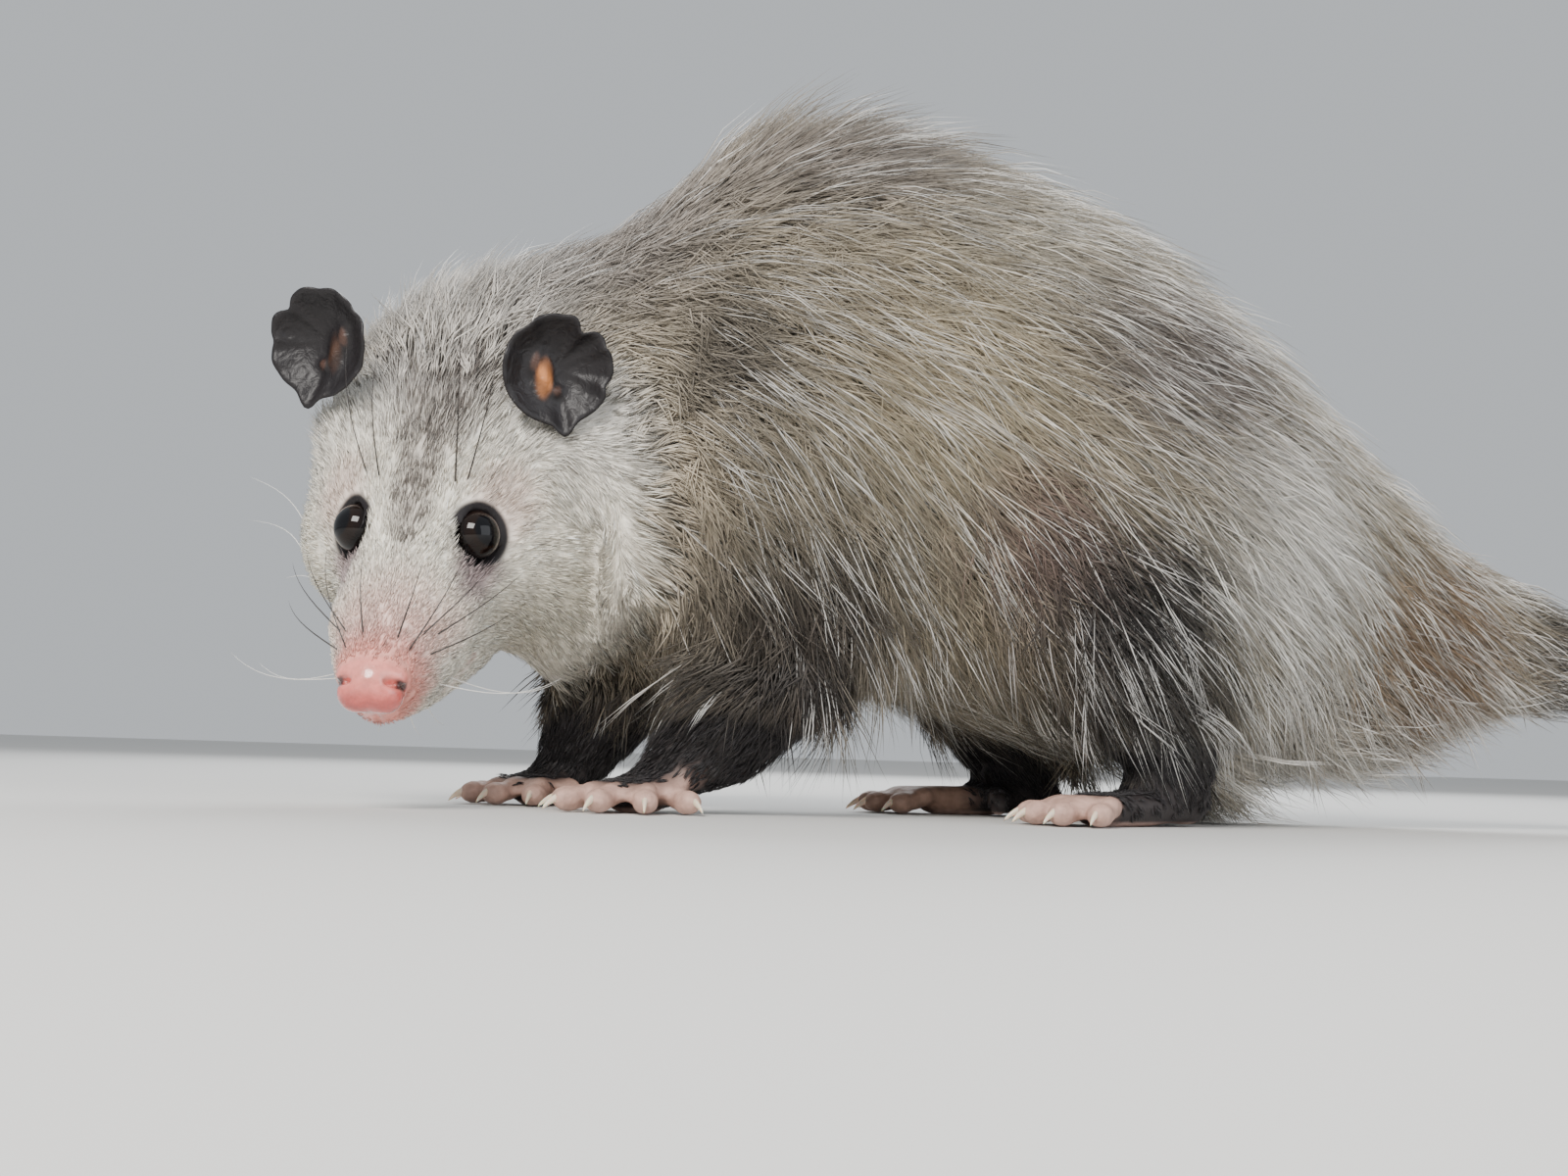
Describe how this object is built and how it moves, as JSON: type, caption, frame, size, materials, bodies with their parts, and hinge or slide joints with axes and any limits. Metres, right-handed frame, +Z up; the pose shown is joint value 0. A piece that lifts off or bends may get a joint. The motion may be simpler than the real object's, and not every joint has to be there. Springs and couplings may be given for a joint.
{
  "type": "opossum",
  "caption": "Life-size standing opossum with an arched furry back, low turned head, bare ears, toed feet and a long bare tail lying on the floor.",
  "frame": {"origin": "middle of the animal's box, on the floor it stands on", "axes": "+X from the head end to the tail, -Y to the animal's left side, +Z up"},
  "size_m": [0.5218, 0.181, 0.1907],
  "materials": {
    "white_fur": "short cream-white fur, grey on the crown",
    "grey_fur": "long grizzled fur, silver tips over buff and grey wool",
    "black_fur": "short black fur",
    "bare_skin": "bare pink skin, scaly on the tail",
    "dark_skin": "thin bare black skin, slightly glossy",
    "eye": "wet black, mirror-like",
    "claw": "pale horn, semi-gloss"
  },
  "bodies": {
    "root": {"eye_left": "eye", "eye_right": "eye", "ear_left": "dark_skin", "ear_right": "dark_skin", "nose": "bare_skin", "head": "white_fur", "neck": "white_fur", "chest": "grey_fur", "belly": "grey_fur", "rump": "grey_fur", "front_left_upper": "grey_fur", "front_left_lower": "black_fur", "front_left_foot": "bare_skin", "front_left_claw_1": "claw", "front_left_claw_2": "claw", "front_left_claw_3": "claw", "front_left_claw_4": "claw", "front_left_claw_5": "claw", "front_right_upper": "grey_fur", "front_right_lower": "black_fur", "front_right_foot": "bare_skin", "front_right_claw_1": "claw", "front_right_claw_2": "claw", "front_right_claw_3": "claw", "front_right_claw_4": "claw", "front_right_claw_5": "claw", "hind_left_upper": "grey_fur", "hind_left_lower": "black_fur", "hind_left_foot": "bare_skin", "hind_left_claw_1": "claw", "hind_left_claw_2": "claw", "hind_left_claw_3": "claw", "hind_left_claw_4": "claw", "hind_right_upper": "grey_fur", "hind_right_lower": "black_fur", "hind_right_foot": "bare_skin", "hind_right_claw_1": "claw", "hind_right_claw_2": "claw", "hind_right_claw_3": "claw", "hind_right_claw_4": "claw", "tail_1": "grey_fur", "tail_2": "bare_skin", "tail_3": "bare_skin", "tail_4": "bare_skin"}
  },
  "joints": []
}
